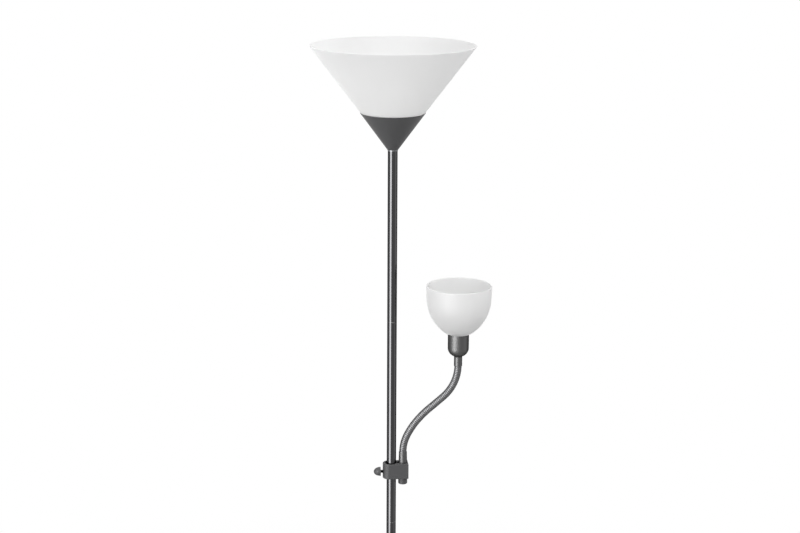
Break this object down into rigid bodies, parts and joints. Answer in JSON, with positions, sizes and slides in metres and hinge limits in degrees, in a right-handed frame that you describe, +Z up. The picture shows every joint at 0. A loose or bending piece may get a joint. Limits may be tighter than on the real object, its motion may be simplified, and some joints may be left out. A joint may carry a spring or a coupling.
{
  "type": "torchiere floor lamp with reading light",
  "caption": "Tall uplighter floor lamp on a round weighted base, with a bendable side reading light clamped to its pole.",
  "frame": {"origin": "middle of the base's felt underside, on the floor, on the pole's axis", "axes": "+Z up along the pole, +X from the pole towards the reading light at rest"},
  "size_m": [0.2819, 0.25, 1.78],
  "materials": {
    "pole_paint": "satin gunmetal lacquer",
    "base_paint": "satin gunmetal lacquer",
    "base_iron": "rough",
    "felt": "felt",
    "plated_steel": "zinc plated",
    "dark_plate": "dark nickel plated",
    "cup_grey": "fine satin",
    "shade_white": "translucent satin white",
    "clamp_grey": "satin moulded",
    "knob_grey": "satin moulded",
    "black_screw": "black oxide",
    "brass": "plain",
    "holder_white": "glazed white",
    "holder_black": "moulded",
    "nylon": "natural",
    "bulb_glass": "frosted",
    "bulb_cap": "rolled thread",
    "black_lead": "matt PVC"
  },
  "bodies": {
    "stand": {"base_felt": "felt", "base_weight": "base_iron", "base_cover": "base_paint", "base_stud": "plated_steel", "thread_nuts": "plated_steel", "base_washer": "plated_steel", "mains_inlet": "holder_black", "foot_collar": "knob_grey", "pole_section_1": "pole_paint", "pole_section_2": "pole_paint", "pole_section_3": "pole_paint", "pole_section_4": "pole_paint", "pole_section_5": "pole_paint", "pole_bushes": "plated_steel", "pole_nipples": "plated_steel", "supply_lead": "black_lead", "cup_washer": "plated_steel", "shade_cup": "cup_grey", "top_nipple": "plated_steel", "lampholder_cap": "holder_black", "lampholder_barrel": "holder_black", "lampholder_core": "holder_white", "lampholder_contacts": "brass", "shade_ring": "holder_black", "uplighter_shade": "shade_white", "uplighter_bulb_cap": "bulb_cap", "uplighter_bulb_glass": "bulb_glass"},
    "clamp_ring": {"clamp_ring": "nylon"},
    "clamp": {"clamp_block": "clamp_grey", "screw_insert": "brass", "gland_nut": "clamp_grey", "lower_ferrule": "dark_plate", "neck_root": "dark_plate", "neck_lead_root": "black_lead"},
    "pad": {"pressure_pad": "nylon"},
    "screw": {"thumb_screw": "black_screw", "screw_knob": "knob_grey"},
    "neck_1": {"neck_1": "dark_plate", "neck_lead_1": "black_lead"},
    "neck_2": {"neck_2": "dark_plate", "neck_lead_2": "black_lead"},
    "neck_3": {"neck_3": "dark_plate", "neck_lead_3": "black_lead"},
    "neck_4": {"neck_4": "dark_plate", "neck_lead_4": "black_lead"},
    "neck_5": {"neck_5": "dark_plate", "neck_lead_5": "black_lead"},
    "head": {"neck_tip": "dark_plate", "neck_lead_tip": "black_lead", "upper_ferrule": "dark_plate", "socket_cup": "dark_plate", "socket_nut": "plated_steel", "reading_holder": "holder_black", "reading_holder_core": "holder_white", "reading_holder_contacts": "brass", "reading_ring": "holder_black", "reading_shade": "shade_white", "reading_bulb_cap": "bulb_cap", "reading_bulb_glass": "bulb_glass"}
  },
  "joints": [
    {"name": "clamp_height", "type": "slide", "parent": "stand", "child": "clamp_ring", "axis": [0, 0, 1], "range_m": [-0.9, 0.25]},
    {"name": "clamp_swivel", "type": "hinge", "parent": "clamp_ring", "child": "clamp", "pos_m": [0, 0, 1.0989], "axis": [0, 0, 1], "range_deg": [-180, 180]},
    {"name": "screw_advance", "type": "slide", "parent": "clamp", "child": "pad", "axis": [-1, 0, 0], "range_m": [0, 0.001]},
    {"name": "thumb_screw_turn", "type": "hinge", "parent": "pad", "child": "screw", "pos_m": [-0.017, 0, 1.1061], "axis": [-1, 0, 0], "range_deg": [0, 450.5]},
    {"name": "neck_bend_1", "type": "hinge", "parent": "clamp", "child": "neck_1", "pos_m": [0.01981, 0, 1.15213], "axis": [0, 1, 0], "range_deg": [-6, 15]},
    {"name": "neck_bend_2", "type": "hinge", "parent": "neck_1", "child": "neck_2", "pos_m": [0.03153, 0, 1.17795], "axis": [0.842, 0, -0.5395], "range_deg": [-15, 15]},
    {"name": "neck_bend_3", "type": "hinge", "parent": "neck_2", "child": "neck_3", "pos_m": [0.04942, 0, 1.20006], "axis": [0, -1, 0], "range_deg": [-15, 8]},
    {"name": "neck_bend_4", "type": "hinge", "parent": "neck_3", "child": "neck_4", "pos_m": [0.07075, 0, 1.21895], "axis": [0.6528, 0, -0.7576], "range_deg": [-15, 15]},
    {"name": "neck_bend_5", "type": "hinge", "parent": "neck_4", "child": "neck_5", "pos_m": [0.09107, 0, 1.23883], "axis": [0, 1, 0], "range_deg": [-12, 15]},
    {"name": "neck_bend_6", "type": "hinge", "parent": "neck_5", "child": "head", "pos_m": [0.10261, 0, 1.26466], "axis": [0.9781, 0, -0.2079], "range_deg": [-15, 15]}
  ],
  "couplings": [
    {"joint": "thumb_screw_turn", "follows": "screw_advance", "rad_per_m": 7854}
  ]
}
